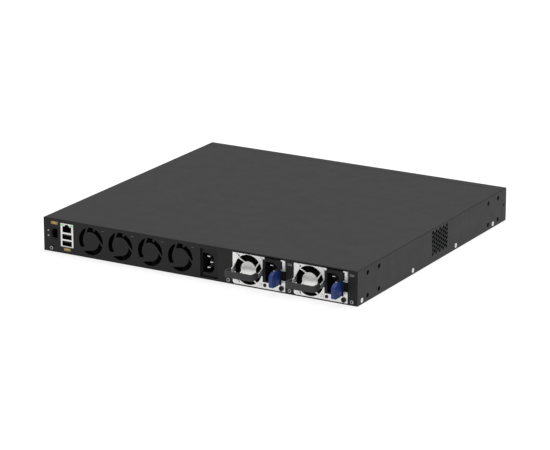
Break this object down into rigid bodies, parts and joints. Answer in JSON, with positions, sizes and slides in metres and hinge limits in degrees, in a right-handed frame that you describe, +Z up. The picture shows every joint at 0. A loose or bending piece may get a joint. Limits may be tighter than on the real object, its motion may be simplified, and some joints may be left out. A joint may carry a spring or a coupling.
{
  "type": "rackmount network switch",
  "caption": "One-unit rack switch: folded steel chassis, front copper and fibre ports, rear fans, fixed mains inlet and slide-out power supplies with strap handles and sprung latches.",
  "frame": {"origin": "centre of the chassis' underside, where the tray rests", "axes": "+Z up; the port side (front) faces -Y; the fan and power side (rear) faces +Y; +X is the width, towards the management ports"},
  "size_m": [0.44, 0.4267, 0.0432],
  "materials": {
    "painted_steel": "fine powder coat, dark grey",
    "rear_steel": "fine powder coat, near black",
    "bright_steel": "nickel-plated sheet steel",
    "zinc_steel": "zinc-plated sheet steel",
    "jack_shell": "tin-plated, satin",
    "screw_zinc": "zinc-plated",
    "screw_dark": "black nickel",
    "black_plastic": "moulded, fine texture",
    "grip_plastic": "moulded, fine ribbed texture",
    "blue_plastic": "moulded, satin",
    "fan_plastic": "moulded, satin",
    "light_pipe": "clear moulded lens",
    "gold_label": "printed label, plain",
    "circuit_board": "green solder mask",
    "chip_plastic": "moulded chip package",
    "heatsink_aluminium": "extruded, matt",
    "contact_brass": "gold-plated contact",
    "component_mix": "capacitors, inductors and transformers"
  },
  "bodies": {
    "root": {"base_tray": "painted_steel", "top_cover": "painted_steel", "front_panel": "painted_steel", "rear_panel": "rear_steel", "cover_screws": "screw_zinc", "rear_screws": "screw_dark", "light_pipes": "light_pipe", "port_labels": "gold_label", "power_cage": "zinc_steel", "power_backplane": "circuit_board", "main_board": "circuit_board", "board_fasteners": "screw_zinc", "switch_chips": "chip_plastic", "switch_heatsink": "heatsink_aluminium", "phy_heatsink": "heatsink_aluminium", "processor_module": "circuit_board", "memory_module": "circuit_board", "board_components": "component_mix", "builtin_supply_board": "circuit_board", "builtin_supply_components": "component_mix", "copper_port_shield": "jack_shell", "copper_port_housing": "black_plastic", "copper_port_contacts": "contact_brass", "fiber_cage": "zinc_steel", "fiber_connectors": "black_plastic", "rear_port_shell": "jack_shell", "rear_port_housing": "black_plastic", "console_port": "black_plastic", "power_inlet": "black_plastic", "power_inlet_pins": "bright_steel", "fan1_frame": "fan_plastic", "fan2_frame": "fan_plastic", "fan3_frame": "fan_plastic", "fan4_frame": "fan_plastic"},
    "fan1": {"fan1_rotor": "fan_plastic"},
    "fan2": {"fan2_rotor": "fan_plastic"},
    "fan3": {"fan3_rotor": "fan_plastic"},
    "fan4": {"fan4_rotor": "fan_plastic"},
    "mode_button": {"mode_button": "black_plastic"},
    "reset_button": {"reset_button": "black_plastic"},
    "supply1": {"supply1_case": "zinc_steel", "supply1_face": "bright_steel", "supply1_screws": "screw_zinc", "supply1_inlet": "black_plastic", "supply1_inlet_pins": "bright_steel", "supply1_handle": "grip_plastic", "supply1_board": "circuit_board", "supply1_fan_frame": "fan_plastic"},
    "supply1_latch": {"supply1_latch": "blue_plastic"},
    "supply1_fan": {"supply1_fan_rotor": "fan_plastic"},
    "supply2": {"supply2_case": "zinc_steel", "supply2_face": "bright_steel", "supply2_screws": "screw_zinc", "supply2_inlet": "black_plastic", "supply2_inlet_pins": "bright_steel", "supply2_handle": "grip_plastic", "supply2_board": "circuit_board", "supply2_fan_frame": "fan_plastic"},
    "supply2_latch": {"supply2_latch": "blue_plastic"},
    "supply2_fan": {"supply2_fan_rotor": "fan_plastic"}
  },
  "joints": [
    {"name": "fan1_spin", "type": "hinge", "parent": "root", "child": "fan1", "pos_m": [0.1506, 0.185, 0.0216], "axis": [0, 1, 0], "continuous": true},
    {"name": "fan2_spin", "type": "hinge", "parent": "root", "child": "fan2", "pos_m": [0.1077, 0.185, 0.0216], "axis": [0, 1, 0], "continuous": true},
    {"name": "fan3_spin", "type": "hinge", "parent": "root", "child": "fan3", "pos_m": [0.0648, 0.185, 0.0216], "axis": [0, 1, 0], "continuous": true},
    {"name": "fan4_spin", "type": "hinge", "parent": "root", "child": "fan4", "pos_m": [0.0219, 0.185, 0.0216], "axis": [0, 1, 0], "continuous": true},
    {"name": "supply1_slide", "type": "slide", "parent": "root", "child": "supply1", "axis": [0, 1, 0], "range_m": [0, 0.2]},
    {"name": "supply1_latch_hinge", "type": "hinge", "parent": "supply1", "child": "supply1_latch", "pos_m": [-0.1203, 0.196, 0.0205], "axis": [0, 0, 1], "range_deg": [-7, 0], "stiffness_Nm_per_rad": 0.6},
    {"name": "supply1_fan_spin", "type": "hinge", "parent": "supply1", "child": "supply1_fan", "pos_m": [-0.073, 0.185, 0.0213], "axis": [0, 1, 0], "continuous": true},
    {"name": "supply2_slide", "type": "slide", "parent": "root", "child": "supply2", "axis": [0, 1, 0], "range_m": [0, 0.2]},
    {"name": "supply2_latch_hinge", "type": "hinge", "parent": "supply2", "child": "supply2_latch", "pos_m": [-0.2038, 0.196, 0.0205], "axis": [0, 0, 1], "range_deg": [-7, 0], "stiffness_Nm_per_rad": 0.6},
    {"name": "supply2_fan_spin", "type": "hinge", "parent": "supply2", "child": "supply2_fan", "pos_m": [-0.1565, 0.185, 0.0213], "axis": [0, 1, 0], "continuous": true},
    {"name": "mode_button_press", "type": "slide", "parent": "root", "child": "mode_button", "axis": [0, 1, 0], "range_m": [0, 0.0008], "stiffness_N_per_m": 400},
    {"name": "reset_button_press", "type": "slide", "parent": "root", "child": "reset_button", "axis": [0, 1, 0], "range_m": [0, 0.0008], "stiffness_N_per_m": 400}
  ]
}
